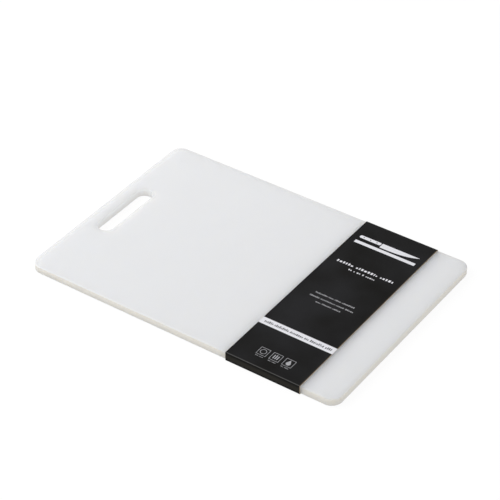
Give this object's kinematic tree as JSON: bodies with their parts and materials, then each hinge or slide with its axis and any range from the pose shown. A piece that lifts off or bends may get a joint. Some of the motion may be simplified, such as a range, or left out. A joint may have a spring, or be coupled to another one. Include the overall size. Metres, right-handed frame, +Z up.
{
  "type": "cutting board",
  "caption": "Rectangular white plastic cutting board with rounded corners and a handle slot at one end, in a black card sleeve that pulls off.",
  "frame": {"origin": "under the middle of the board, on the plane that the sleeved board lies on", "axes": "+X along the board away from the handle slot, +Y across the board, +Z up out of the cutting surface"},
  "size_m": [0.43, 0.296, 0.0121],
  "materials": {
    "white_polyethylene": "satin, fine moulded grain",
    "black_card": "black print on satin-coated card, bare fibre at the cut edges",
    "white_ink": "matt offset ink",
    "adhesive": "dried hot-melt adhesive"
  },
  "bodies": {
    "board": {"board": "white_polyethylene"},
    "sleeve": {"card_sleeve": "black_card", "sleeve_glue_strip": "adhesive"}
  },
  "joints": [
    {"name": "sleeve_slide", "type": "slide", "parent": "board", "child": "sleeve", "axis": [1, 0, 0], "range_m": [-0.39, 0.155]}
  ]
}
